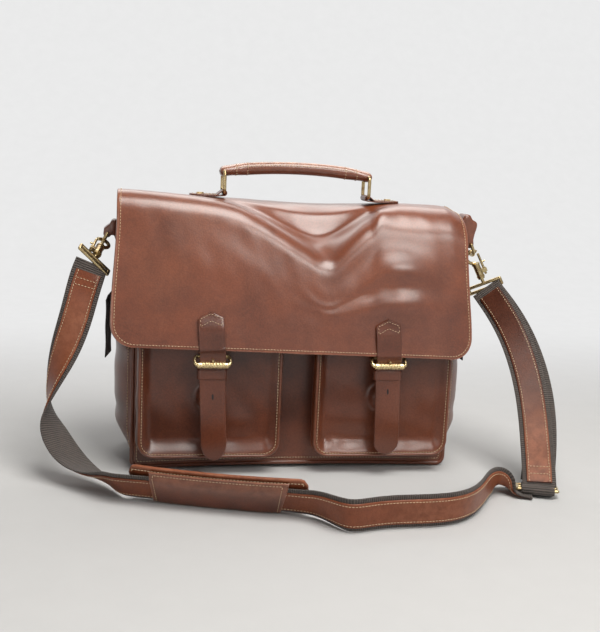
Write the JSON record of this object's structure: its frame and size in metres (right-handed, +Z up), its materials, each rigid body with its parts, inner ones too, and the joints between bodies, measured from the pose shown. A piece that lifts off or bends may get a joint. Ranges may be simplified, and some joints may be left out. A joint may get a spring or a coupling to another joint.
{
  "type": "satchel bag",
  "caption": "Leather satchel with a full front flap, buckled closure straps over outer pockets, a carrying handle on rings and a padded shoulder strap on swivel clasps.",
  "frame": {"origin": "centre of the body's base, on the surface it stands on", "axes": "+Z up, -Y out of the front with the flap and pockets, +X to the right seen from the front"},
  "size_m": [0.5751, 0.3113, 0.3496],
  "materials": {
    "leather": "glossy waxed",
    "dark_leather": "semi-gloss",
    "black_fabric": "matte",
    "webbing": "ribbed weave",
    "brass": "polished",
    "board": "matte"
  },
  "bodies": {
    "bag": {"back_panel": "leather", "front_panel": "dark_leather", "left_gusset": "leather", "right_gusset": "leather", "bottom_panel": "dark_leather", "base_board": "board", "lining": "black_fabric", "front_piping": "leather", "back_piping": "leather", "flap_welt": "leather", "left_pocket_front": "leather", "right_pocket_front": "leather", "left_pocket_gusset": "dark_leather", "right_pocket_gusset": "dark_leather", "left_pocket_piping": "leather", "right_pocket_piping": "leather", "left_snap_socket": "brass", "right_snap_socket": "brass", "left_chape": "leather", "right_chape": "leather", "left_d_ring": "brass", "right_d_ring": "brass", "left_swivel_eye": "brass", "right_swivel_eye": "brass", "shoulder_strap": "webbing", "strap_return": "webbing", "strap_slider": "brass", "pad_backing": "leather", "pad_sleeve": "dark_leather"},
    "flap": {"flap_top": "leather", "left_wing": "black_fabric", "right_wing": "black_fabric", "left_anchor": "leather", "right_anchor": "leather", "handle_rivets": "brass"},
    "front_flap": {"flap_front": "leather", "left_upper_strap": "leather", "right_upper_strap": "leather"},
    "left_closure": {"left_lower_strap": "leather", "left_buckle_frame": "brass", "left_prong": "brass", "left_keeper": "dark_leather", "left_under_tab": "dark_leather", "left_snap_stud": "brass"},
    "right_closure": {"right_lower_strap": "leather", "right_buckle_frame": "brass", "right_prong": "brass", "right_keeper": "dark_leather", "right_under_tab": "dark_leather", "right_snap_stud": "brass"},
    "left_roller": {"left_roller": "brass"},
    "right_roller": {"right_roller": "brass"},
    "left_ring": {"left_handle_ring": "brass"},
    "right_ring": {"right_handle_ring": "brass"},
    "grip": {"handle_grip": "leather"},
    "left_clasp": {"left_clasp": "brass"},
    "right_clasp": {"right_clasp": "brass"},
    "left_trigger": {"left_trigger": "brass"},
    "right_trigger": {"right_trigger": "brass"}
  },
  "joints": [
    {"name": "flap_lift", "type": "hinge", "parent": "bag", "child": "flap", "pos_m": [0, 0.0535, 0.2865], "axis": [-1, 0, 0], "range_deg": [0, 180]},
    {"name": "flap_fold", "type": "hinge", "parent": "flap", "child": "front_flap", "pos_m": [0, -0.066, 0.276], "axis": [-1, 0, 0], "range_deg": [0, 90]},
    {"name": "left_closure_swing", "type": "hinge", "parent": "front_flap", "child": "left_closure", "pos_m": [-0.097, -0.0973, 0.14169], "axis": [-1, 0, 0], "range_deg": [0, 100]},
    {"name": "left_roller_spin", "type": "hinge", "parent": "left_closure", "child": "left_roller", "pos_m": [-0.097, -0.09655, 0.12909], "axis": [1, 0, 0], "continuous": true},
    {"name": "right_closure_swing", "type": "hinge", "parent": "front_flap", "child": "right_closure", "pos_m": [0.097, -0.0973, 0.14169], "axis": [-1, 0, 0], "range_deg": [0, 100]},
    {"name": "right_roller_spin", "type": "hinge", "parent": "right_closure", "child": "right_roller", "pos_m": [0.097, -0.09655, 0.12909], "axis": [1, 0, 0], "continuous": true},
    {"name": "handle_swing", "type": "hinge", "parent": "flap", "child": "left_ring", "pos_m": [-0.083, 0, 0.30758], "axis": [0, 1, 0], "range_deg": [-65, 65]},
    {"name": "grip_level", "type": "hinge", "parent": "left_ring", "child": "grip", "pos_m": [-0.083, 0, 0.33158], "axis": [0, 1, 0], "range_deg": [-65, 65]},
    {"name": "right_ring_swing", "type": "hinge", "parent": "flap", "child": "right_ring", "pos_m": [0.083, 0, 0.30758], "axis": [0, 1, 0], "range_deg": [-65, 65]},
    {"name": "left_clasp_swivel", "type": "hinge", "parent": "bag", "child": "left_clasp", "pos_m": [-0.21555, -0.01061, 0.24847], "axis": [-0.1783, -0.9135, -0.3656], "range_deg": [-15, 15]},
    {"name": "left_trigger_slide", "type": "slide", "parent": "left_clasp", "child": "left_trigger", "axis": [-0.1783, -0.9135, -0.3656], "range_m": [0, 0.006], "stiffness_N_per_m": 200, "springref_m": -0.003},
    {"name": "right_clasp_swivel", "type": "hinge", "parent": "bag", "child": "right_clasp", "pos_m": [0.21794, 0, 0.24476], "axis": [0.4695, 0, -0.8829], "range_deg": [-15, 15]},
    {"name": "right_trigger_slide", "type": "slide", "parent": "right_clasp", "child": "right_trigger", "axis": [0.4695, 0, -0.8829], "range_m": [0, 0.006], "stiffness_N_per_m": 200, "springref_m": -0.003}
  ],
  "couplings": [
    {"joint": "grip_level", "follows": "handle_swing", "ratio": -1},
    {"joint": "right_ring_swing", "follows": "handle_swing", "ratio": 1}
  ]
}
